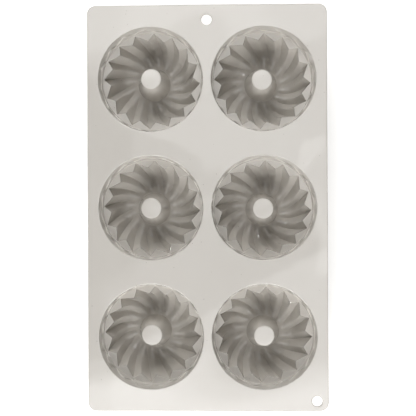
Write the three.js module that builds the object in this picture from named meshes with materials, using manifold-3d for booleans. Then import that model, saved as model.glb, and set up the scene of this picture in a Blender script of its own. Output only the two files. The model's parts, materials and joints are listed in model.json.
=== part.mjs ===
// A silicone mould for small swirled ring cakes: one thin sheet with a grid of fluted ring cavities.
// Millimetres, +Z up. The origin lies on the standing plane, under the middle of the sheet.

import * as THREE from 'three';
import { mergeVertices } from 'three/addons/utils/BufferGeometryUtils.js';
import Module from 'manifold-3d';

const wasm = await Module();
wasm.setup();

// Grid of cavities
const columnNames = ['left', 'right']; // towards +X
const rowNames = ['front', 'middle', 'rear']; // towards +Y
const columnGap = 3; // clear space between the outer walls of neighbouring columns
const rowGap = 14.4;
const sideMargin = 6.4; // sheet beyond the outermost walls
const endMargin = 14.2;

// Sheet
const sheetThickness = 2.2;
const sheetCornerRadius = 6;
const sheetEdgeRound = 0.8;
const mouthRound = 1.2; // rounded edge of each mouth
const hangHoleRadius = 3.85;
const rearHoleLand = 6.95; // sheet left between the rear hole and the rear edge
const cornerHoleSideLand = 4.35;
const cornerHoleFrontLand = 3.15;

// Cavity
const cavityDepth = 36; // sheet top to the lowest point inside
const footThickness = 2; // material under that lowest point
const wallThickness = 1.8;
const mouthRadius = 38; // recess wall where it meets the sheet's top plane
const recessDepth = 12.5; // sheet top to the ledge
const recessDraft = 1.7; // radius that the recess loses over its depth
const shoulderStep = 0.5; // width of the wavy shoulder on the recess wall
const shoulderHeight = 0.7;
const shoulderWave = 2.3; // how far the shoulder line rises and falls

// Flutes
const fluteCount = 16;
const ledgeWidth = 0.55; // ledge left outside the flute tips
const ledgeFluteDepth = 5.15; // tip to ridge at the ledge
const floorFluteDepth = 2.2; // the same on the floor
const ledgeRidgeShare = 1 / 3; // at the ledge a ridge stands a third of the way from one tip to the next
const floorRidgeShare = 1 / 2; // and on the floor half way
const floorTwist = THREE.MathUtils.degToRad(16.5); // clockwise from the ledge to the floor
const postTwist = THREE.MathUtils.degToRad(24.5); // clockwise from the ledge to the post
const fluteStart = THREE.MathUtils.degToRad(-2.3);
const bowlFullness = 1.55; // 2 makes the bowl's wall a quarter ellipse, 1 a straight cone
const floorRadius = 20.1; // ring where the floor lies lowest
const footWidth = 3.2; // flat ring that the cup stands on

// Centre post
const postBaseRadius = 12.4;
const postTopRadius = 7.55;
const postTopDrop = 5; // sheet top to post top
const postFootRise = 3; // floor to the foot of the post
const postTopRound = 0.9;
const postFlare = 1.1; // 1 is a straight cone, more is a wider bell foot

// Fineness of the round forms
const mouthSegments = 4 * fluteCount;
const postSegments = 24;
const holeSegments = 16;
const cornerSegments = 5;
const roundSteps = 2;
const bowlSteps = 4;
const postSteps = 3;

// Levels
const floorLevel = footThickness;
const sheetTop = floorLevel + cavityDepth;
const sheetUnderside = sheetTop - sheetThickness;
const ledgeLevel = sheetTop - recessDepth;
const postFootLevel = floorLevel + postFootRise;
const postTopLevel = sheetTop - postTopDrop;
const shoulderLevel = (sheetUnderside + ledgeLevel) / 2;

// Radii and grid
const ledgeRadius = mouthRadius - recessDraft;
const fluteTipRadius = ledgeRadius - ledgeWidth;
const fluteAngle = (2 * Math.PI) / fluteCount;
const columnPitch = 2 * (mouthRadius + wallThickness) + columnGap;
const rowPitch = 2 * (mouthRadius + wallThickness) + rowGap;
const sheetWidth = columnNames.length * columnPitch - columnGap + 2 * sideMargin;
const sheetLength = rowNames.length * rowPitch - rowGap + 2 * endMargin;

function silicone() {
  return new THREE.MeshStandardMaterial({ color: 0xcfcac4, roughness: 0.5, metalness: 0 });
}

function namedMesh(name, geometry) {
  const mesh = new THREE.Mesh(geometry, silicone());
  mesh.name = name;
  return mesh;
}

function recessRadiusAt(level) {
  return ledgeRadius + (recessDraft * (level - ledgeLevel)) / recessDepth;
}

// Turns an (r, z) outline about +Z. place moves each vertex: it gets the outline's point and the
// number of the segment, and gives back a radius, an angle and a height.
function turnedGeometry(outline, segments, place) {
  const points = outline.map((point) => new THREE.Vector2(point.r, point.z));
  const geometry = new THREE.LatheGeometry(points, segments);
  const position = geometry.getAttribute('position');
  for (let index = 0; index < position.count; index += 1) {
    const point = outline[index % outline.length];
    const segment = Math.floor(index / outline.length) % segments;
    const { r, angle, z } = place(point, segment);
    position.setXYZ(index, r * Math.cos(angle), r * Math.sin(angle), z);
  }
  return geometry;
}

function evenTurn(segments) {
  return (point, segment) => ({ r: point.r, angle: (segment * 2 * Math.PI) / segments, z: point.z });
}

function closedOutline(outline) {
  return [...outline, outline[0]];
}

// Quarter arc from a wall to a level top. outward is 1 for a mouth that widens, -1 for a rim that narrows.
function edgeArc(wallRadius, topLevel, round, outward) {
  const arc = [];
  for (let step = 0; step <= roundSteps; step += 1) {
    const angle = (step / roundSteps) * (Math.PI / 2);
    const r = wallRadius + outward * round * (1 - Math.cos(angle));
    arc.push({ r, z: topLevel - round * (1 - Math.sin(angle)) });
  }
  return arc;
}

// Booleans
function solidOf(geometry) {
  const bare = geometry.clone();
  bare.deleteAttribute('normal');
  bare.deleteAttribute('uv');
  const merged = mergeVertices(bare, 1e-4);
  const vertProperties = new Float32Array(merged.getAttribute('position').array);
  const triVerts = new Uint32Array(merged.getIndex().array);
  return new wasm.Manifold(new wasm.Mesh({ numProp: 3, vertProperties, triVerts }));
}

function geometryOf(solid) {
  const mesh = solid.getMesh();
  const geometry = new THREE.BufferGeometry();
  geometry.setAttribute('position', new THREE.BufferAttribute(mesh.vertProperties, 3));
  geometry.setIndex(new THREE.BufferAttribute(mesh.triVerts, 1));
  geometry.computeVertexNormals();
  return geometry;
}

// Sheet
function sheetOutline() {
  const x = sheetWidth / 2;
  const y = sheetLength / 2;
  const radius = sheetCornerRadius;
  const shape = new THREE.Shape();
  shape.absarc(x - radius, y - radius, radius, 0, Math.PI / 2);
  shape.absarc(radius - x, y - radius, radius, Math.PI / 2, Math.PI);
  shape.absarc(radius - x, radius - y, radius, Math.PI, Math.PI * 1.5);
  shape.absarc(x - radius, radius - y, radius, Math.PI * 1.5, Math.PI * 2);
  return shape;
}

function sheetPlate() {
  const round = Math.min(sheetEdgeRound, sheetThickness / 2.5);
  const plate = new THREE.ExtrudeGeometry(sheetOutline(), {
    depth: sheetThickness - 2 * round,
    bevelThickness: round,
    bevelSize: round,
    bevelOffset: -round,
    bevelSegments: roundSteps,
    curveSegments: cornerSegments,
  });
  plate.translate(0, 0, sheetUnderside + round);
  return plate;
}

function mouthCutter(x, y) {
  const round = Math.min(mouthRound, sheetThickness / 1.5);
  const wallRadius = recessRadiusAt(sheetTop - round);
  const arc = edgeArc(wallRadius, sheetTop, round, 1);
  const below = sheetUnderside - sheetThickness;
  const outline = [
    { r: 0, z: below },
    { r: recessRadiusAt(sheetUnderside), z: below },
    { r: recessRadiusAt(sheetUnderside), z: sheetUnderside },
    ...arc,
    { r: wallRadius + round, z: sheetTop + sheetThickness },
    { r: 0, z: sheetTop + sheetThickness },
  ];
  return turnedGeometry(outline, mouthSegments, evenTurn(mouthSegments)).translate(x, y, 0);
}

function holeCutter(x, y) {
  const length = 3 * sheetThickness;
  const cutter = new THREE.CylinderGeometry(hangHoleRadius, hangHoleRadius, length, holeSegments);
  return cutter.rotateX(Math.PI / 2).translate(x, y, (sheetTop + sheetUnderside) / 2);
}

function hangHoles() {
  const rearY = sheetLength / 2 - rearHoleLand - hangHoleRadius;
  const cornerX = sheetWidth / 2 - cornerHoleSideLand - hangHoleRadius;
  const cornerY = cornerHoleFrontLand + hangHoleRadius - sheetLength / 2;
  return [holeCutter(0, rearY), holeCutter(cornerX, cornerY)];
}

function sheetMesh(cavities) {
  const cutters = cavities.map(({ x, y }) => mouthCutter(x, y));
  let solid = solidOf(sheetPlate());
  for (const cutter of [...cutters, ...hangHoles()]) {
    solid = solid.subtract(solidOf(cutter));
  }
  return namedMesh('sheet', geometryOf(solid));
}

// Collar: the recess wall from the sheet's underside to the ledge, with a wavy shoulder round it.
// The shoulder line dips over each flute tip.
function collarGeometry() {
  const topRadius = recessRadiusAt(sheetUnderside);
  const shoulderRadius = recessRadiusAt(shoulderLevel);
  const wave = shoulderWave;
  const outline = closedOutline([
    { r: ledgeRadius + wallThickness, z: ledgeLevel },
    { r: topRadius + wallThickness, z: sheetUnderside },
    { r: topRadius, z: sheetUnderside },
    { r: shoulderRadius, z: shoulderLevel + shoulderHeight / 2, wave },
    { r: shoulderRadius - shoulderStep, z: shoulderLevel - shoulderHeight / 2, wave },
    { r: ledgeRadius, z: ledgeLevel },
  ]);
  return turnedGeometry(outline, mouthSegments, (point, segment) => {
    const turn = (segment * 2 * Math.PI) / mouthSegments;
    const rise = -(point.wave ?? 0) * Math.cos(fluteCount * turn);
    return { r: point.r, angle: fluteStart + turn, z: point.z + rise };
  });
}

// Fluted cup
function twistAt(r) {
  if (r > floorRadius) {
    const share = (fluteTipRadius - r) / (fluteTipRadius - floorRadius);
    return floorTwist * Math.max(share, 0);
  }
  const share = (floorRadius - r) / (floorRadius - postBaseRadius);
  return THREE.MathUtils.lerp(floorTwist, postTwist, Math.min(share, 1));
}

// A point of the bowl along a flute tip, from 0 at the ledge to 1 on the floor. side is 0 for the
// inside and 1 for the outside. ridgeR and ridgeZ lead from the tip to the ridge beside it.
function bowlPoint(share, side) {
  const { lerp } = THREE.MathUtils;
  const cos = Math.cos((share * Math.PI) / 2);
  const sin = Math.sin((share * Math.PI) / 2);
  const tipR = lerp(floorRadius, fluteTipRadius, cos ** (2 / bowlFullness));
  const tipZ = lerp(ledgeLevel, floorLevel, sin ** (2 / bowlFullness));
  const depth = lerp(ledgeFluteDepth, floorFluteDepth, share);
  return {
    r: tipR + side * wallThickness * cos,
    z: tipZ - side * wallThickness * sin,
    ridgeR: -depth * cos,
    ridgeZ: depth * sin,
    ridgeShare: lerp(ledgeRidgeShare, floorRidgeShare, share),
    turn: twistAt(tipR),
  };
}

function plainPoint(r, z) {
  return { r, z, turn: twistAt(r) };
}

function cupOutline() {
  const inside = [];
  const outside = [];
  for (let step = 0; step <= bowlSteps; step += 1) {
    inside.push(bowlPoint(step / bowlSteps, 0));
  }
  for (let step = bowlSteps - 1; step > 0; step -= 1) {
    outside.push(bowlPoint(step / bowlSteps, 1));
  }
  const innerFloorRadius = (floorRadius + postBaseRadius) / 2;
  const innerFloorRise = postFootRise * (1 - Math.SQRT1_2);
  const innerFloor = plainPoint(innerFloorRadius, floorLevel + innerFloorRise);
  const underLedge = bowlPoint(0, 1);
  const lipRadius = postBaseRadius - wallThickness;
  const flangeRadius = ledgeRadius + wallThickness;
  return closedOutline([
    plainPoint(flangeRadius, ledgeLevel - wallThickness),
    plainPoint(flangeRadius, ledgeLevel),
    ...inside,
    { ...innerFloor, ridgeR: 0, ridgeZ: floorFluteDepth, ridgeShare: floorRidgeShare },
    plainPoint(postBaseRadius, postFootLevel),
    plainPoint(lipRadius, postFootLevel),
    plainPoint(lipRadius, postFootLevel - wallThickness),
    plainPoint(floorRadius - footWidth / 2, 0),
    plainPoint(floorRadius + footWidth / 2, 0),
    ...outside,
    { ...underLedge, z: ledgeLevel - wallThickness },
  ]);
}

// Even segments lie on flute tips and odd ones on the ridges between them.
function cupGeometry() {
  return turnedGeometry(cupOutline(), 2 * fluteCount, (point, segment) => {
    const onRidge = segment % 2;
    const share = Math.floor(segment / 2) + onRidge * (point.ridgeShare ?? 1 / 2);
    return {
      r: point.r + onRidge * (point.ridgeR ?? 0),
      angle: fluteStart + share * fluteAngle - point.turn,
      z: point.z + onRidge * (point.ridgeZ ?? 0),
    };
  });
}

// Centre post: a hollow bell with a closed flat top, open underneath.
function postRadiusAt(share) {
  return postTopRadius + (postBaseRadius - postTopRadius) * (1 - share) ** postFlare;
}

function postGeometry() {
  const sideHeight = postTopLevel - postTopRound - postFootLevel;
  const innerHeight = postTopLevel - wallThickness - postFootLevel;
  const outer = [];
  const inner = [];
  for (let step = 0; step <= postSteps; step += 1) {
    const share = step / postSteps;
    outer.push({ r: postRadiusAt(share), z: postFootLevel + share * sideHeight });
    inner.unshift({ r: postRadiusAt(share) - wallThickness, z: postFootLevel + share * innerHeight });
  }
  outer.pop();
  const outline = [
    { r: 0, z: postTopLevel - wallThickness },
    ...inner,
    ...outer,
    ...edgeArc(postTopRadius, postTopLevel, postTopRound, -1),
    { r: 0, z: postTopLevel },
  ];
  return turnedGeometry(outline, postSegments, evenTurn(postSegments));
}

function cavityGroup({ x, y, place }) {
  const group = new THREE.Group();
  group.position.set(x, y, 0);
  group.add(namedMesh(`collar_${place}`, collarGeometry()));
  group.add(namedMesh(`fluted_cup_${place}`, cupGeometry()));
  group.add(namedMesh(`centre_post_${place}`, postGeometry()));
  return group;
}

function cavityPlaces() {
  const places = [];
  rowNames.forEach((row, rowIndex) => {
    columnNames.forEach((column, columnIndex) => {
      const x = (columnIndex - (columnNames.length - 1) / 2) * columnPitch;
      const y = (rowIndex - (rowNames.length - 1) / 2) * rowPitch;
      places.push({ x, y, place: `${row}_${column}` });
    });
  });
  return places;
}

const mould = new THREE.Group();
const cavities = cavityPlaces();
mould.add(sheetMesh(cavities));
cavities.forEach((cavity) => mould.add(cavityGroup(cavity)));

export default mould;
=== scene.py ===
import json
import math

import bmesh
import bpy
import numpy as np
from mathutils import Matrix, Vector

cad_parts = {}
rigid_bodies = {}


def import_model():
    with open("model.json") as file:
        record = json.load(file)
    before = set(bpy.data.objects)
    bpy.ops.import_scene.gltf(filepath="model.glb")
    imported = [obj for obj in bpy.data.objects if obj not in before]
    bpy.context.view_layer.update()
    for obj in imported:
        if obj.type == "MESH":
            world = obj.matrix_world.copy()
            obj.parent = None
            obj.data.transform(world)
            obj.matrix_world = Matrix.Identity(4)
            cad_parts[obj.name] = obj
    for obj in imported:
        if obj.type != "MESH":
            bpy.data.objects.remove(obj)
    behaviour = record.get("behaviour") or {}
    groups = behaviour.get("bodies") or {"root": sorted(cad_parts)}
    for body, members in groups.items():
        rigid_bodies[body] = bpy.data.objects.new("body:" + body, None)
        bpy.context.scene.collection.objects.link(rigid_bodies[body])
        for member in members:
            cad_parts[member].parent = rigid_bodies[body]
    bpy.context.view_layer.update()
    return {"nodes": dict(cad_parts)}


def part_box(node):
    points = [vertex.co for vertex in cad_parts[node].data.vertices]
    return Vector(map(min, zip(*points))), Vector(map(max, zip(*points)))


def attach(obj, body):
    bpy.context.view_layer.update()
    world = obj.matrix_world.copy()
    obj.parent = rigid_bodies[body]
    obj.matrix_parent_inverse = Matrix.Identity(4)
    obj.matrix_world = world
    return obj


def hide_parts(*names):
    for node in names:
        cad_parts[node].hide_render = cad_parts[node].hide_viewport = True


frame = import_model()
scene = bpy.context.scene
scene.view_settings.view_transform = "Standard"

mm = 0.001  # the sizes in the dictionaries are millimetres, Blender works in metres


def boxInMm(node):
    low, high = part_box(node)
    return np.array(low) / mm, np.array(high) / mm


def middleOf(node):
    low, high = boxInMm(node)
    return (low + high) / 2


# the places of the six cavities and the levels of the mould come from the frame
places = sorted(name.removeprefix("collar_") for name in frame["nodes"] if name.startswith("collar_"))
centres = {place: middleOf("collar_" + place)[:2] for place in places}
sheetLow, sheetHigh = boxInMm("sheet")
collarLow = boxInMm("collar_" + places[0])[0]
postLow, postHigh = boxInMm("centre_post_" + places[0])
sheetTop = sheetHigh[2]
sheetUnderside = sheetLow[2]
ledgeLevel = collarLow[2]
postFoot = postLow[2]
postTop = postHigh[2]
print("stage: frame read,", len(places), "cavities, sheet top at", round(float(sheetTop), 2), "mm")

# what all the round forms of a cavity share
cavity = dict(
    mouthRadius=38.35,    # recess wall where it meets the sheet's top plane
    recessDraft=2.05,     # radius that the recess loses down to the ledge
    postBaseRadius=12.4,  # where the floor runs up to the post
    wall=1.8,
    flutes=16,
    startAngle=-2.3,      # degrees, the first flute tip
    ridgeShare=1 / 3,     # at the ledge a ridge stands a third of the way from one tip to the next
    floorRidgeShare=0.5,  # and at the floor half way
    stepsPerFlute=24,
)
ledgeRadius = cavity["mouthRadius"] - cavity["recessDraft"]

# how every mesh is closed and shaded
finish = dict(
    mergeWithin=0.0005,   # points closer than this become one
    dropBelow=0.0002,     # edges shorter than this are dissolved
    creaseAngle=38.0,     # degrees between two faces from which their edge is shaded sharp
)


def recessRadiusAt(level):
    return ledgeRadius + cavity["recessDraft"] * (level - ledgeLevel) / (sheetTop - ledgeLevel)


def lerp(a, b, share):
    return a + (b - a) * share


def smooth(low, high, value):
    share = min(max((value - low) / (high - low), 0), 1)
    return share * share * (3 - 2 * share)


# the sine and cosine of even steps through a quarter turn, for round edges
def quarterTurn(rows, first=0):
    angles = [row / rows * math.pi / 2 for row in range(first, rows + 1)]
    return [(math.sin(a), math.cos(a)) for a in angles]


# one function adds a node, with its settings and with values or links on its inputs
def addNode(tree, kind, settings=None, inputs=None):
    node = tree.nodes.new(kind)
    for name, value in (settings or {}).items():
        setattr(node, name, value)
    for name, value in (inputs or {}).items():
        if isinstance(value, bpy.types.NodeSocket):
            tree.links.new(value, node.inputs[name])
        else:
            node.inputs[name].default_value = value
    return node


# from a hex colour, which is on the sRGB curve, to the linear values that the nodes take
def linearColour(hexText):
    channels = [int(hexText[i:i + 2], 16) / 255 for i in (1, 3, 5)]
    return [c / 12.92 if c <= 0.04045 else ((c + 0.055) / 1.055) ** 2.4 for c in channels] + [1.0]


# Compression-moulded food-grade silicone rubber: an even warm grey that runs through the body, with the
# soft gloss of a polished mould, faint cloudy patches and a few specks of dust that cling to it.
silicone = dict(
    colour="#c3bfb8",
    cloudColour="#beb9b2",
    cloudSize=38.0,
    cloudDetail=3.0,
    cloudRoughness=0.55,
    cloudRange=(0.3, 0.7),      # the clouds' values between which the gloss changes
    roughness=(0.035, 0.055),
    dustColour="#a39d95",
    dustSpacing=7.5,
    dustSize=0.34,              # real specks are finer, these are as coarse as they need to show
    rippleSize=13.0,            # the face is not quite even, so what it mirrors has a ragged edge
    rippleHeight=0.06,
    rippleDetail=4.0,
    grainSize=0.9,
    grainHeight=0.0008,
    grainDetail=2.0,
    ior=1.41,
)


def siliconeMaterial():
    material = bpy.data.materials.new("mouldedSilicone")
    material.use_nodes = True
    tree = material.node_tree
    tree.nodes.clear()
    where = addNode(tree, "ShaderNodeTexCoord").outputs["Object"]
    clouds = addNode(tree, "ShaderNodeTexNoise", {}, {
        "Vector": where, "Scale": 1 / (silicone["cloudSize"] * mm),
        "Detail": silicone["cloudDetail"], "Roughness": silicone["cloudRoughness"]})
    cloudMix = addNode(tree, "ShaderNodeMix", {"data_type": "RGBA"}, {
        "Factor": clouds.outputs["Fac"],
        "A": linearColour(silicone["colour"]), "B": linearColour(silicone["cloudColour"])})
    cells = addNode(tree, "ShaderNodeTexVoronoi", {}, {
        "Vector": where, "Scale": 1 / (silicone["dustSpacing"] * mm)})
    speck = addNode(tree, "ShaderNodeMath", {"operation": "LESS_THAN"}, {
        0: cells.outputs["Distance"], 1: silicone["dustSize"] / silicone["dustSpacing"]})
    colour = addNode(tree, "ShaderNodeMix", {"data_type": "RGBA"}, {
        "Factor": speck.outputs[0],
        "A": cloudMix.outputs["Result"], "B": linearColour(silicone["dustColour"])})
    roughness = addNode(tree, "ShaderNodeMapRange", {}, {
        "Value": clouds.outputs["Fac"],
        "From Min": silicone["cloudRange"][0], "From Max": silicone["cloudRange"][1],
        "To Min": silicone["roughness"][0], "To Max": silicone["roughness"][1]})
    ripple = addNode(tree, "ShaderNodeTexNoise", {}, {
        "Vector": where, "Scale": 1 / (silicone["rippleSize"] * mm), "Detail": silicone["rippleDetail"]})
    rippled = addNode(tree, "ShaderNodeBump", {}, {
        "Height": ripple.outputs["Fac"], "Strength": 1.0, "Distance": silicone["rippleHeight"] * mm})
    grain = addNode(tree, "ShaderNodeTexNoise", {}, {
        "Vector": where, "Scale": 1 / (silicone["grainSize"] * mm), "Detail": silicone["grainDetail"]})
    bump = addNode(tree, "ShaderNodeBump", {}, {
        "Height": grain.outputs["Fac"], "Strength": 1.0, "Distance": silicone["grainHeight"] * mm,
        "Normal": rippled.outputs["Normal"]})
    shader = addNode(tree, "ShaderNodeBsdfPrincipled", {}, {
        "Base Color": colour.outputs["Result"], "Roughness": roughness.outputs["Result"],
        "IOR": silicone["ior"], "Normal": bump.outputs["Normal"]})
    addNode(tree, "ShaderNodeOutputMaterial", {}, {"Surface": shader.outputs["BSDF"]})
    return material


mouldedSilicone = siliconeMaterial()
print("stage: silicone made")


# Turns a profile about +Z. Each point of the profile carries where it lies and how the flutes, the
# wavy shoulder and the swirl move it, so one tree makes the cups, the collars, the posts and the rims.
pointFields = ("fromAxis", "height", "ridgeOut", "ridgeUp", "waveUp", "turn", "softness", "evenness")


def turnedTree():
    tree = bpy.data.node_groups.new("turnedMoulding", "GeometryNodeTree")
    tree.interface.new_socket("Geometry", in_out="OUTPUT", socket_type="NodeSocketGeometry")
    for label, kind in (("Profile", "Geometry"), ("Flutes", "Int"), ("Steps per flute", "Int"),
                        ("Ridge share", "Float"), ("Floor ridge share", "Float"), ("Edge bulge", "Float"),
                        ("Start angle", "Float"), ("Place", "Vector"), ("Silicone", "Material")):
        tree.interface.new_socket(label, in_out="INPUT", socket_type="NodeSocket" + kind)
    given = addNode(tree, "NodeGroupInput").outputs

    def calc(operation, a, b=0.0):
        return addNode(tree, "ShaderNodeMath", {"operation": operation}, {0: a, 1: b}).outputs[0]

    field = {}
    for name in pointFields:
        read = addNode(tree, "GeometryNodeInputNamedAttribute", {"data_type": "FLOAT"}, {"Name": name})
        field[name] = read.outputs["Attribute"]

    # the skin: the profile carried once round a circle
    profile = addNode(tree, "GeometryNodeMeshToCurve", {}, {"Mesh": given["Profile"]})
    circle = addNode(tree, "GeometryNodeCurvePrimitiveCircle", {"mode": "RADIUS"}, {
        "Resolution": calc("MULTIPLY", given["Flutes"], given["Steps per flute"])})
    factor = addNode(tree, "GeometryNodeSplineParameter").outputs["Factor"]
    capture = tree.nodes.new("GeometryNodeCaptureAttribute")
    capture.capture_items.new("FLOAT", "around")
    tree.links.new(circle.outputs["Curve"], capture.inputs["Geometry"])
    tree.links.new(factor, capture.inputs["around"])
    around = capture.outputs["around"]
    skin = addNode(tree, "GeometryNodeCurveToMesh", {}, {
        "Curve": capture.outputs["Geometry"], "Profile Curve": profile.outputs["Curve"]})

    # 0 on a flute tip, 1 on the ridge beside it, 0 again on the next tip; soft ridges are domed, and
    # even ones swell as gently out of the groove as they turn over at the top
    def mixed(by, a, b):
        return addNode(tree, "ShaderNodeMix", {"data_type": "FLOAT"}, {
            "Factor": field[by], "A": a, "B": b}).outputs["Result"]

    phase = calc("FRACT", calc("MULTIPLY", around, given["Flutes"]))
    ridgeAt = mixed("softness", given["Ridge share"], given["Floor ridge share"])
    rising = calc("DIVIDE", phase, ridgeAt)
    falling = calc("DIVIDE", calc("SUBTRACT", 1.0, phase), calc("SUBTRACT", 1.0, ridgeAt))
    saw = calc("MINIMUM", rising, falling)
    belly = calc("MULTIPLY", calc("MULTIPLY", saw, calc("SUBTRACT", 1.0, saw)), given["Edge bulge"])
    domed = calc("SINE", calc("MULTIPLY", saw, math.pi / 2))
    swollen = calc("POWER", domed, 2.0)
    ridge = mixed("softness", calc("ADD", saw, belly), mixed("evenness", domed, swollen))
    dip = calc("COSINE", calc("MULTIPLY", phase, 2 * math.pi))
    fromAxis = calc("ADD", field["fromAxis"], calc("MULTIPLY", field["ridgeOut"], ridge))
    height = calc("SUBTRACT", calc("ADD", field["height"], calc("MULTIPLY", field["ridgeUp"], ridge)),
                  calc("MULTIPLY", field["waveUp"], dip))
    angle = calc("SUBTRACT", calc("ADD", calc("MULTIPLY", around, 2 * math.pi), given["Start angle"]),
                 field["turn"])
    spot = addNode(tree, "ShaderNodeCombineXYZ", {}, {
        "X": calc("MULTIPLY", fromAxis, calc("COSINE", angle)),
        "Y": calc("MULTIPLY", fromAxis, calc("SINE", angle)), "Z": height})
    placed = addNode(tree, "ShaderNodeVectorMath", {"operation": "ADD"}, {
        0: spot.outputs[0], 1: given["Place"]})
    shaped = addNode(tree, "GeometryNodeSetPosition", {}, {
        "Geometry": skin.outputs["Mesh"], "Position": placed.outputs[0]})
    merged = addNode(tree, "GeometryNodeMergeByDistance", {}, {
        "Geometry": shaped.outputs["Geometry"], "Distance": finish["mergeWithin"] * mm})
    realized = addNode(tree, "GeometryNodeRealizeInstances", {}, {"Geometry": merged.outputs["Geometry"]})
    painted = addNode(tree, "GeometryNodeSetMaterial", {}, {
        "Geometry": realized.outputs["Geometry"], "Material": given["Silicone"]})
    addNode(tree, "NodeGroupOutput", {}, {"Geometry": painted.outputs["Geometry"]})
    return tree


turnedMoulding = turnedTree()


def point(r, z, ridge=(0, 0), wave=0.0, turn=0.0, softness=0.0, evenness=0.0):
    return (r * mm, z * mm, ridge[0] * mm, ridge[1] * mm, wave * mm, turn, softness, evenness)


def profileMesh(name, points, closed):
    mesh = bpy.data.meshes.new(name + "Profile")
    count = len(points)
    edges = [(i, i + 1) for i in range(count - 1)] + ([(count - 1, 0)] if closed else [])
    mesh.from_pydata([(p[0], 0, p[1]) for p in points], edges, [])
    for index, field in enumerate(pointFields):
        attribute = mesh.attributes.new(field, "FLOAT", "POINT")
        attribute.data.foreach_set("value", [p[index] for p in points])
    return mesh


# the web of a soft mould never lies quite flat: long low waves, fading to nothing at the standing feet
slack = dict(
    waves=(               # height, length, direction and start in degrees
        (0.30, 150.0, 78.0, 40.0),
        (0.26, 96.0, 20.0, 200.0),
        (0.20, 70.0, 118.0, 95.0),
    ),
    sway={                # how far the floor and the post's top of each cup hang off to the side
        "rear_left": ((0.4, 0.4), (0.1, 1.05)),
        "rear_right": ((-1.25, -0.45), (-0.95, -0.15)),
        "middle_left": ((0.0, -0.65), (-0.1, -0.15)),
        "middle_right": ((-0.7, -1.7), (-0.5, -0.7)),
        "front_left": ((0.6, 0.5), (0.0, 0.5)),
        "front_right": ((-0.35, -0.7), (-0.1, -0.1)),
    },
)
noSway = ((0, 0), (0, 0))


def slackAt(x, y):
    total = np.zeros_like(x)
    for height, length, direction, start in slack["waves"]:
        along = x * math.cos(math.radians(direction)) + y * math.sin(math.radians(direction))
        total += height * np.sin(2 * math.pi * along / length + math.radians(start))
    return total


def settle(mesh, sway, levels):
    # sway is how far the mesh moves aside at the lower and at the upper of the two levels
    flat = np.empty(len(mesh.vertices) * 3)
    mesh.vertices.foreach_get("co", flat)
    spots = flat.reshape(-1, 3) / mm
    share = (spots[:, 2] - levels[0]) / (levels[1] - levels[0])
    spots[:, 2] += slackAt(spots[:, 0], spots[:, 1]) * np.clip(spots[:, 2] / sheetTop, 0, 1)
    for axis in (0, 1):
        spots[:, axis] += lerp(sway[0][axis], sway[1][axis], share)
    mesh.vertices.foreach_set("co", (spots * mm).ravel())
    mesh.update()


def finishMesh(mesh, sway=noSway, levels=(0, sheetTop)):
    work = bmesh.new()
    work.from_mesh(mesh)
    bmesh.ops.remove_doubles(work, verts=work.verts, dist=finish["mergeWithin"] * mm)
    bmesh.ops.dissolve_degenerate(work, edges=work.edges, dist=finish["dropBelow"] * mm)
    bmesh.ops.recalc_face_normals(work, faces=work.faces)
    openEdges = sum(1 for edge in work.edges if len(edge.link_faces) != 2)
    work.to_mesh(mesh)
    work.free()
    settle(mesh, sway, levels)
    mesh.shade_smooth()
    mesh.set_sharp_from_angle(angle=math.radians(finish["creaseAngle"]))
    print("  piece", mesh.name, len(mesh.polygons), "faces,", openEdges, "open edges")


def evaluatedMesh(piece, name):
    mesh = bpy.data.meshes.new_from_object(piece.evaluated_get(bpy.context.evaluated_depsgraph_get()))
    mesh.name = name
    piece.modifiers.clear()
    piece.data = mesh
    return mesh


def turnedPiece(name, points, closed, place, sway=noSway, levels=(0, sheetTop), bulge=0.0):
    centre = centres[place]
    piece = bpy.data.objects.new(name, profileMesh(name, points, closed))
    scene.collection.objects.link(piece)
    modifier = piece.modifiers.new("turned", "NODES")
    modifier.node_group = turnedMoulding
    values = {"Flutes": cavity["flutes"], "Steps per flute": cavity["stepsPerFlute"],
              "Ridge share": cavity["ridgeShare"], "Floor ridge share": cavity["floorRidgeShare"],
              "Edge bulge": bulge, "Start angle": math.radians(cavity["startAngle"]),
              "Place": (centre[0] * mm, centre[1] * mm, 0.0), "Silicone": mouldedSilicone}
    for item in turnedMoulding.interface.items_tree:
        if item.in_out == "INPUT" and item.name in values:
            modifier[item.identifier] = values[item.name]
    finishMesh(evaluatedMesh(piece, name), sway, levels)
    return piece


def takeOver(piece, node):
    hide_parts(node)
    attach(piece, "root")


# collar: the plain recess wall with its wavy shoulder, a narrow step that faces up
collar = dict(
    shoulderStep=0.7,     # width of the step
    shoulderFall=0.35,    # from its outer to its inner edge
    wave=2.6,             # how far the line rises and falls
    lowerDraft=0.3,       # radius that the wall loses below the shoulder
    wallRows=16,
    stepRows=6,
)


def collarProfile():
    shoulder = (sheetUnderside + ledgeLevel) / 2
    stepTop = shoulder + collar["shoulderFall"] / 2
    stepFoot = shoulder - collar["shoulderFall"] / 2
    wave = collar["wave"]
    topRadius = recessRadiusAt(sheetUnderside)
    lowRadius = ledgeRadius + collar["lowerDraft"]
    highRadius = lowRadius + collar["shoulderStep"]
    inside = []
    for row in range(collar["wallRows"]):
        share = row / collar["wallRows"]
        inside.append(point(lerp(topRadius, highRadius, share), lerp(sheetUnderside, stepTop, share),
                            wave=wave * share))
    for row in range(collar["stepRows"] + 1):
        share = row / collar["stepRows"]
        fall = smooth(0, 1, share)
        inside.append(point(lerp(highRadius, lowRadius, share), lerp(stepTop, stepFoot, fall), wave=wave))
    for row in range(1, collar["wallRows"] + 1):
        share = row / collar["wallRows"]
        inside.append(point(lerp(lowRadius, ledgeRadius, share), lerp(stepFoot, ledgeLevel, share),
                            wave=wave * (1 - share)))
    outside = [point(ledgeRadius + cavity["wall"], ledgeLevel),
               point(topRadius + cavity["wall"], sheetUnderside)]
    return outside + inside


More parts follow.
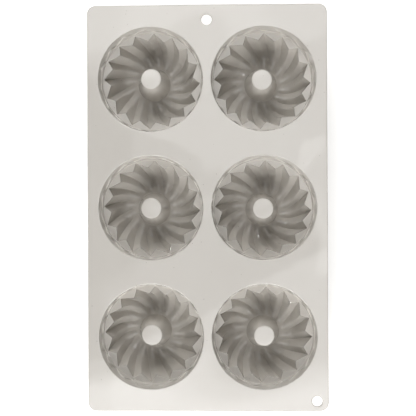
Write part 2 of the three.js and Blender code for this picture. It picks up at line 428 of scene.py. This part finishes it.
# fluted cup: the ledge with its star edge, the swirled bowl, its floor and the foot it stands on
cup = dict(
    ledgeWidth=0.55,
    ledgeFlute=5.15,      # tip to ridge at the ledge
    ledgeShares=(0.3, 0.6, 0.85),   # rows of the ledge, from the collar to the star edge
    floorFlute=2.2,
    floorTurn=16.5,       # degrees, clockwise from the ledge to the floor and to the post
    postTurn=24.5,
    fullness=1.55,        # 2 makes the wall a quarter ellipse, 1 a plain cone
    bottomRound=2.0,      # how broadly the wall rounds into the floor
    ridgeLean=1.2,        # above 1 the ridges turn from standing out to standing up lower in the bowl
    softFrom=0.4,         # share of the way down from which the ridges grow soft
    evenBy=0.5,           # share of the floor by which they are even
    floorRadius=20.1,
    floorLevel=2.0,
    footWidth=3.2,
    edgeRound=0.25,
    edgeRows=4,
    bulge=0.35,           # how far the star edge bellies out between a tip and a ridge
    wallRows=40,
    floorRows=12,
    outsideRows=26,
    outsideShares=(0.93, 0.05),     # of the way down, where the outside leaves the foot and where it ends
    outsideFade=0.7,      # share of the way down from which the outside loses its flutes
    slopeStep=0.002,      # small step along the wall that its slope is taken over
)


def cupProfile():
    tipRadius = ledgeRadius - cup["ledgeWidth"]
    bowlDepth = ledgeLevel - cup["floorLevel"]
    floorRadius = cup["floorRadius"]
    postRadius = cavity["postBaseRadius"]
    wall = cavity["wall"]
    edge = cup["edgeRound"]
    bend = cup["bottomRound"]
    power = 2 / cup["fullness"]
    step = cup["slopeStep"]

    def turnAt(r):
        if r > floorRadius:
            share = (tipRadius - r) / (tipRadius - floorRadius)
            return math.radians(cup["floorTurn"]) * max(share, 0)
        share = (floorRadius - r) / (floorRadius - postRadius)
        return math.radians(lerp(cup["floorTurn"], cup["postTurn"], min(share, 1)))

    def wallSpot(a):
        out, drop = math.cos(a) ** power, math.sin(a) ** power
        rise = math.hypot(bowlDepth * (1 - drop), bend) - bend
        return (lerp(floorRadius, tipRadius, out),
                cup["floorLevel"] + rise * bowlDepth / (math.hypot(bowlDepth, bend) - bend))

    # a point of the bowl, its share of the way down from the ledge; side is 0 inside and 1 outside
    def bowl(share, side):
        angle = min(max(share, step), 1 - step) * math.pi / 2
        (r, z), (r2, z2) = wallSpot(angle - step), wallSpot(angle + step)
        slope = math.atan2(z - z2, r - r2)
        r, z = (r + r2) / 2, (z + z2) / 2
        lean = math.radians(90) * share ** cup["ridgeLean"]
        depth = lerp(cup["ledgeFlute"], cup["floorFlute"], share)
        if side:
            depth *= 1 - smooth(cup["outsideFade"], 1.0, share)
        return point(r + side * wall * math.sin(slope), z - side * wall * math.cos(slope),
                     ridge=(-depth * math.cos(lean), depth * math.sin(lean)), turn=turnAt(r),
                     softness=smooth(cup["softFrom"], 1.0, share))

    rows = []
    flange = ledgeRadius + wall
    rows += [point(flange, ledgeLevel - wall), point(flange, ledgeLevel), point(ledgeRadius, ledgeLevel)]
    for share in cup["ledgeShares"]:
        rows.append(point(lerp(ledgeRadius, tipRadius + edge, share), ledgeLevel,
                          ridge=(-cup["ledgeFlute"] * share, 0)))
    for sine, cosine in quarterTurn(cup["edgeRows"])[:-1]:
        rows.append(point(tipRadius + edge * (1 - sine), ledgeLevel - edge * (1 - cosine),
                          ridge=(-cup["ledgeFlute"], 0)))
    firstShare = math.asin((edge / bowlDepth) ** (cup["fullness"] / 2)) * 2 / math.pi
    for row in range(cup["wallRows"] + 1):
        rows.append(bowl(lerp(firstShare, 1, row / cup["wallRows"]), 0))
    for row in range(1, cup["floorRows"] + 1):
        share = row / cup["floorRows"]
        r = lerp(floorRadius, postRadius, share)
        z = lerp(postFoot, cup["floorLevel"], math.cos(share * math.pi / 2))
        ridgeUp = cup["floorFlute"] * (1 - smooth(0, 1, share))
        rows.append(point(r, z, ridge=(0, ridgeUp), turn=turnAt(r), softness=1.0,
                          evenness=smooth(0, cup["evenBy"], share)))
    lip = postRadius - wall
    lastTurn = math.radians(cup["postTurn"])
    rows += [point(lip, postFoot, turn=lastTurn), point(lip, postFoot - wall, turn=lastTurn)]
    for side in (-1, 1):
        r = floorRadius + side * cup["footWidth"] / 2
        rows.append(point(r, 0, turn=turnAt(r)))
    for row in range(1, cup["outsideRows"] + 1):
        rows.append(bowl(lerp(*cup["outsideShares"], row / cup["outsideRows"]), 1))
    rows.append(point(tipRadius + wall, ledgeLevel - wall, ridge=(-cup["ledgeFlute"], 0)))
    return rows


# centre post: a hollow bell with a closed flat top
post = dict(
    topRadius=7.5,
    topRound=(1.0, 0.7),  # how far the top's round edge runs in over the top, and down
    flare=1.1,            # below 1 the flank bellies out, above 1 it is hollow
    rows=30,
    roundRows=8,
)


def postProfile():
    wall = cavity["wall"]

    def radiusAt(share):
        return lerp(post["topRadius"], cavity["postBaseRadius"], (1 - share) ** post["flare"])

    roundIn, roundDown = post["topRound"]
    inner = []
    outer = []
    for row in range(post["rows"] + 1):
        share = row / post["rows"]
        inner.insert(0, point(radiusAt(share) - wall, lerp(postFoot, postTop - wall, share)))
        outer.append(point(radiusAt(share), lerp(postFoot, postTop - roundDown, share)))
    for sine, cosine in quarterTurn(post["roundRows"], 1):
        outer.append(point(post["topRadius"] - roundIn * (1 - cosine), postTop - roundDown * (1 - sine)))
    return [point(0, postTop - wall)] + inner + outer + [point(0, postTop)]


# mouth rim: the round edge from the recess wall to the sheet, a ring let into the sheet
rim = dict(
    round=(0.55, 0.5),    # how far the edge runs out over the sheet, and down
    land=0.2,             # a narrow flat ring keeps the shading of the round edge off the sheet
    roundRows=8,
)
rimWallRadius = recessRadiusAt(sheetTop - rim["round"][1])
rimRadius = rimWallRadius + rim["round"][0] + rim["land"]


def rimProfile():
    roundOut, roundDown = rim["round"]
    rows = [point(recessRadiusAt(sheetUnderside), sheetUnderside)]
    for sine, cosine in quarterTurn(rim["roundRows"]):
        rows.append(point(rimWallRadius + roundOut * (1 - cosine), sheetTop - roundDown * (1 - sine)))
    return rows + [point(rimRadius, sheetTop), point(rimRadius, sheetUnderside)]


collarPoints = collarProfile()
cupPoints = cupProfile()
postPoints = postProfile()
rimPoints = rimProfile()
footShare = 1 - postFoot / sheetTop  # how much of its floor's sway a post has at its foot
for place in places:
    floorSway, topSway = slack["sway"][place]
    hang = (floorSway, (0, 0))
    lean = ([footShare * s for s in floorSway], topSway)
    takeOver(turnedPiece("silicone_collar_" + place, collarPoints, True, place, hang), "collar_" + place)
    takeOver(turnedPiece("silicone_cup_" + place, cupPoints, True, place, hang, bulge=cup["bulge"]),
             "fluted_cup_" + place)
    takeOver(turnedPiece("silicone_post_" + place, postPoints, False, place, lean, (postFoot, postTop)),
             "centre_post_" + place)
    rimPiece = turnedPiece("silicone_rim_" + place, rimPoints, True, place)
    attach(rimPiece, "root")
print("stage: cavities made")

# sheet: the flat web, laid out as one fan of faces round each mouth
web = dict(
    cornerRadius=6.0,
    edgeRound=0.6,
    fanSteps=320,
    fanRows=16,
    underRows=6,
    roundRows=8,
    mergeWithin=0.002,    # points of neighbouring fans closer than this become one
    parallel=1e-9,        # below this a ray runs along an edge and never meets it
    holeRadius=3.85,
    holeRound=0.45,
    holeRows=4,
    holeSteps=48,
    holeOverrun=2.0,      # how far the cutter stands out above and below the sheet
    rearHole=(0.0, 137.2),
    cornerHole=(79.3, -141.0),
)


def fanBounds(centre):
    xs = sorted({round(float(c[0]), 3) for c in centres.values()})
    ys = sorted({round(float(c[1]), 3) for c in centres.values()})
    sides = []
    for value, values, low, high in ((centre[0], xs, sheetLow[0], sheetHigh[0]),
                                     (centre[1], ys, sheetLow[1], sheetHigh[1])):
        index = min(range(len(values)), key=lambda i: abs(values[i] - value))
        before = (values[index - 1] + values[index]) / 2 if index else low
        after = (values[index] + values[index + 1]) / 2 if index + 1 < len(values) else high
        sides.append((before, index == 0, after, index + 1 == len(values)))
    return sides


# where a ray from the mouth's centre leaves its share of the sheet, and whether that is the sheet's edge
def fanEdge(centre, angle, inset):
    (left, leftOuter, right, rightOuter), (front, frontOuter, rear, rearOuter) = fanBounds(centre)
    dx, dy = math.cos(angle), math.sin(angle)
    xLimit, xOuter = (right, rightOuter) if dx > 0 else (left, leftOuter)
    yLimit, yOuter = (rear, rearOuter) if dy > 0 else (front, frontOuter)
    # taken before the inset, so that the same ray meets the corner in every row
    cornerAngle = math.atan2(yLimit - centre[1], xLimit - centre[0])
    xLimit -= math.copysign(inset, xLimit) if xOuter else 0
    yLimit -= math.copysign(inset, yLimit) if yOuter else 0
    alongX = (xLimit - centre[0]) / dx if abs(dx) > web["parallel"] else math.inf
    alongY = (yLimit - centre[1]) / dy if abs(dy) > web["parallel"] else math.inf
    along = min(alongX, alongY)
    spot = (centre[0] + dx * along, centre[1] + dy * along)
    outer = xOuter if alongX < alongY else yOuter
    if xOuter and yOuter:  # a corner of the sheet is round
        radius = web["cornerRadius"] - inset
        cx = xLimit - math.copysign(radius, xLimit)
        cy = yLimit - math.copysign(radius, yLimit)
        if (spot[0] - cx) * xLimit > 0 and (spot[1] - cy) * yLimit > 0:
            ox, oy = centre[0] - cx, centre[1] - cy
            b = ox * dx + oy * dy
            along = -b + math.sqrt(b * b - ox * ox - oy * oy + radius * radius)
            spot = (centre[0] + dx * along, centre[1] + dy * along)
    else:                  # where fans meet, the nearest ray goes into the corner
        step = 2 * math.pi / web["fanSteps"]
        difference = (cornerAngle - angle + math.pi) % (2 * math.pi) - math.pi
        if -step / 2 < difference <= step / 2:
            spot = (xLimit, yLimit)
            outer = xOuter or yOuter
    return spot, outer


def sheetMesh():
    work = bmesh.new()
    steps = web["fanSteps"]
    edgeRound = web["edgeRound"]
    angles = [2 * math.pi * i / steps for i in range(steps)]
    for centre in centres.values():
        edges = [fanEdge(centre, a, edgeRound) for a in angles]
        rings = []  # from the mouth's underside up its wall, out to the fan's edge and back underneath

        def fanRing(z, share):
            return [(lerp(centre[0] + rimRadius * math.cos(a), spot[0], share),
                     lerp(centre[1] + rimRadius * math.sin(a), spot[1], share), z)
                    for a, (spot, outer) in zip(angles, edges)]

        def edgeRing(inset, z):
            return [(*fanEdge(centre, a, inset)[0], z) for a in angles]

        rings.append(fanRing(sheetUnderside, 0))
        for row in range(web["fanRows"] + 1):
            rings.append(fanRing(sheetTop, row / web["fanRows"]))
        edgeStart = len(rings) - 1
        for sine, cosine in quarterTurn(web["roundRows"], 1):
            rings.append(edgeRing(edgeRound * (1 - sine), sheetTop - edgeRound * (1 - cosine)))
        for sine, cosine in quarterTurn(web["roundRows"]):
            rings.append(edgeRing(edgeRound * (1 - cosine), sheetUnderside + edgeRound * (1 - sine)))
        edgeEnd = len(rings) - 1
        for row in range(web["underRows"] - 1, -1, -1):
            rings.append(fanRing(sheetUnderside, row / web["underRows"]))
        verts = [[work.verts.new([c * mm for c in spot]) for spot in ring] for ring in rings]
        for r in range(len(rings) - 1):
            onEdge = edgeStart <= r < edgeEnd
            for i in range(steps):
                j = (i + 1) % steps
                if onEdge and not (edges[i][1] and edges[j][1]):
                    continue
                work.faces.new((verts[r][i], verts[r][j], verts[r + 1][j], verts[r + 1][i]))
    return closedMesh(work, "silicone_sheet")


def closedMesh(work, name):
    bmesh.ops.remove_doubles(work, verts=work.verts, dist=web["mergeWithin"] * mm)
    bmesh.ops.recalc_face_normals(work, faces=work.faces)
    mesh = bpy.data.meshes.new(name)
    work.to_mesh(mesh)
    work.free()
    return mesh


# a drum that flares at both faces of the sheet, so that the hole gets round edges
def holeCutter(x, y):
    r, flare = web["holeRadius"], web["holeRound"]
    top, foot = sheetTop + web["holeOverrun"], sheetUnderside - web["holeOverrun"]
    outline = [(0, foot), (r + flare, foot), (r + flare, sheetUnderside)]
    for sine, cosine in quarterTurn(web["holeRows"], 1):
        outline.append((r + flare * (1 - sine), sheetUnderside + flare * (1 - cosine)))
    for sine, cosine in quarterTurn(web["holeRows"]):
        outline.append((r + flare * (1 - cosine), sheetTop - flare * (1 - sine)))
    outline += [(r + flare, top), (0, top)]
    work = bmesh.new()
    loop = [work.verts.new((x * mm + p[0] * mm, y * mm, p[1] * mm)) for p in outline]
    spine = [work.edges.new((loop[i], loop[i + 1])) for i in range(len(loop) - 1)]
    bmesh.ops.spin(work, geom=loop + spine, cent=(x * mm, y * mm, 0), axis=(0, 0, 1),
                   angle=2 * math.pi, steps=web["holeSteps"], use_duplicate=False)
    cutter = bpy.data.objects.new("holeCutter", closedMesh(work, "holeCutter"))
    scene.collection.objects.link(cutter)
    return cutter


def sheetPiece():
    piece = bpy.data.objects.new("silicone_sheet", sheetMesh())
    scene.collection.objects.link(piece)
    cutters = [holeCutter(*web["rearHole"]), holeCutter(*web["cornerHole"])]
    for cutter in cutters:
        cut = piece.modifiers.new("hangingHole", "BOOLEAN")
        cut.operation = "DIFFERENCE"
        cut.solver = "EXACT"
        cut.object = cutter
    mesh = evaluatedMesh(piece, "silicone_sheet")
    for cutter in cutters:
        bpy.data.objects.remove(cutter)
    mesh.materials.clear()
    mesh.materials.append(mouldedSilicone)
    finishMesh(mesh)
    return piece


takeOver(sheetPiece(), "sheet")
print("stage: sheet made")

# studio: a white floor and world, soft boxes that light the mould, and boxes and cards that only its
# gloss mirrors, some of them on a few pieces alone; a box is its bearing from +X, its highest and lowest
# edge down from overhead and its spread, all in degrees, and its radiance
studio = dict(
    floorSize=6.0,        # metres
    floorColour="#f4f3f1",
    floorLift=0.42,       # white added for the camera and for reflections
    worldColour="#ffffff",
    reach=1.1,            # metres from the mould to each lamp
    boxes=dict(           # the light on the mould
        frontHigh=(268, 32, 58, 50, 4.75),
        frontLow=(267, 52, 76, 100, 4.5),
        rearHigh=(98, 32, 58, 54, 3.8),
        rearLow=(98, 52, 76, 100, 3.25),
    ),
    glints=dict(          # small hot lamps that glint on the flutes of the cups
        rightGlint=(0, 18, 22, 14, 130.0),
        rearGlint=(90, 24, 28, 9, 130.0),
        leftGlint=(180, 19, 23, 14, 130.0),
        frontGlint=(270, 24, 28, 9, 130.0),
    ),
    lines=dict(           # boxes that draw a bright line along the rims
        frontLine=(270, 40, 66, 100, 18.0),
        rearLine=(90, 40, 66, 100, 10.0),
    ),
    gleams=dict(          # what the cups, collars and rims mirror of the low boxes
        frontGleam=(267, 52, 76, 100, 4.5),
        rearGleam=(98, 52, 76, 100, 3.2),
    ),
    cards=dict(           # level cards: the middle and the size in millimetres, degrees turned, radiance
        rear=(-55, 413, 760, 500, -26, 2.2),
        rearEdge=(-60, 560, 900, 500, 0, 1.8),
        rearMiddle=(-105, 520, 450, 500, 0, 0.9),
        right=(365, 5, 380, 390, 0, 2.2),
        front=(10, -430, 1100, 500, 20, 2.3),
        frontSecond=(0, -560, 1100, 500, 6, 2.0),
        frontThird=(0, -605, 1100, 500, 2, 1.6),
        frontEdge=(0, -635, 1100, 500, 0, 1.6),
        middle=(0, 0, 480, 100, 0, 0.9),
        ceiling=(360, 0, 1100, 1500, 0, 1.4),
        sky=(0, 0, 3000, 3000, 0, 0.5),
    ),
    cardsInCups=("rear", "right", "sky"),  # every piece mirrors these, all but the cups mirror the rest
    cardStep=5,           # millimetres that each card hangs above the one before
)


# 1 for a ray that the camera sees, straight on, in a gloss or through something clear
def seenRay(tree):
    ray = addNode(tree, "ShaderNodeLightPath").outputs
    gloss = addNode(tree, "ShaderNodeMath", {"operation": "MAXIMUM"}, {
        0: ray["Is Glossy Ray"], 1: ray["Is Transmission Ray"]})
    seen = addNode(tree, "ShaderNodeMath", {"operation": "MAXIMUM"}, {
        0: ray["Is Camera Ray"], 1: gloss.outputs[0]})
    return seen.outputs[0]


def floorMaterial():
    material = bpy.data.materials.new("paleStudioFloor")
    material.use_nodes = True
    tree = material.node_tree
    tree.nodes.clear()
    strength = addNode(tree, "ShaderNodeMath", {"operation": "MULTIPLY"}, {
        0: seenRay(tree), 1: studio["floorLift"]})
    paint = addNode(tree, "ShaderNodeBsdfDiffuse", {}, {"Color": linearColour(studio["floorColour"])})
    lift = addNode(tree, "ShaderNodeEmission", {}, {"Strength": strength.outputs[0]})
    both = addNode(tree, "ShaderNodeAddShader", {}, {0: paint.outputs[0], 1: lift.outputs[0]})
    addNode(tree, "ShaderNodeOutputMaterial", {}, {"Surface": both.outputs[0]})
    return material


def makeFloor():
    half = studio["floorSize"] / 2
    corners = [(-half, -half, 0), (half, -half, 0), (half, half, 0), (-half, half, 0)]
    mesh = bpy.data.meshes.new("studio_floor")
    mesh.from_pydata(corners, [], [(0, 1, 2, 3)])
    mesh.materials.append(floorMaterial())
    floor = bpy.data.objects.new("studio_floor", mesh)
    scene.collection.objects.link(floor)


def makeWorld():
    world = bpy.data.worlds.new("studioWorld")
    scene.world = world
    world.use_nodes = True
    tree = world.node_tree
    tree.nodes.clear()
    sky = addNode(tree, "ShaderNodeBackground", {}, {
        "Color": linearColour(studio["worldColour"]), "Strength": seenRay(tree)})
    addNode(tree, "ShaderNodeOutputWorld", {}, {"Surface": sky.outputs[0]})


# a mirrored lamp shows only in the gloss, of the given pieces or of all
def makeLamp(name, size, radiance, location, turn, mirrored, mirroredBy=None):
    light = bpy.data.lights.new(name, "AREA")
    light.shape = "RECTANGLE"
    light.size, light.size_y = size
    light.energy = radiance * math.pi * size[0] * size[1]
    lamp = bpy.data.objects.new(name, light)
    lamp.location = location
    lamp.rotation_euler = turn
    lamp.visible_camera = False
    lamp.visible_diffuse = not mirrored
    lamp.visible_glossy = mirrored
    lamp.light_linking.receiver_collection = mirroredBy
    scene.collection.objects.link(lamp)


def makeBox(name, bearing, top, bottom, spread, radiance, mirroredBy=None):
    reach = studio["reach"]
    down, around = math.radians((top + bottom) / 2), math.radians(bearing)
    way = Vector((math.sin(down) * math.cos(around), math.sin(down) * math.sin(around), math.cos(down)))
    size = (reach * math.sin(down) * math.radians(spread), reach * math.radians(bottom - top))
    makeLamp(name, size, radiance, Vector((0, 0, sheetTop * mm)) + way * reach,
             (-way).to_track_quat("-Z", "Y").to_euler(), mirroredBy is not None, mirroredBy)


def makeCard(name, lift, x, y, width, length, turn, radiance):
    z = (sheetTop + lift) * mm + studio["reach"]
    mirroredBy = None if name in studio["cardsInCups"] else upperPieces
    makeLamp(name, (width * mm, length * mm), radiance, (x * mm, y * mm, z), (0, 0, math.radians(turn)),
             True, mirroredBy)


def gather(name, *starts):
    pieces = bpy.data.collections.new(name)
    for piece in scene.objects:
        if piece.name.startswith(starts):
            pieces.objects.link(piece)
    return pieces


cupPieces = gather("cupPieces", "silicone_cup")
rimPieces = gather("rimPieces", "silicone_rim")
hollowPieces = gather("hollowPieces", "silicone_cup", "silicone_collar", "silicone_rim")
upperPieces = gather("upperPieces", "silicone_sheet", "silicone_post", "silicone_collar", "silicone_rim")
makeFloor()
makeWorld()
for name, box in studio["boxes"].items():
    makeBox(name, *box)
for group, pieces in (("glints", cupPieces), ("lines", rimPieces), ("gleams", hollowPieces)):
    for name, box in studio[group].items():
        makeBox(name, *box, mirroredBy=pieces)
for index, (name, card) in enumerate(studio["cards"].items()):
    makeCard(name, index * studio["cardStep"], *card)
print("stage: studio made")

# camera: high over the middle, leaning a little from the right, as the photograph was taken
cameraSet = dict(
    place=(17.3, -0.5, 680.2),
    lean=(0.023, 1.5, -0.272),  # degrees
    lens=76.3,
    sensor=36.0,
)


def makeCamera():
    data = bpy.data.cameras.new("photoCamera")
    data.sensor_width = cameraSet["sensor"]
    data.lens = cameraSet["lens"]
    camera = bpy.data.objects.new("photoCamera", data)
    camera.location = [c * mm for c in cameraSet["place"]]
    camera.rotation_euler = [math.radians(a) for a in cameraSet["lean"]]
    scene.collection.objects.link(camera)
    scene.camera = camera


makeCamera()
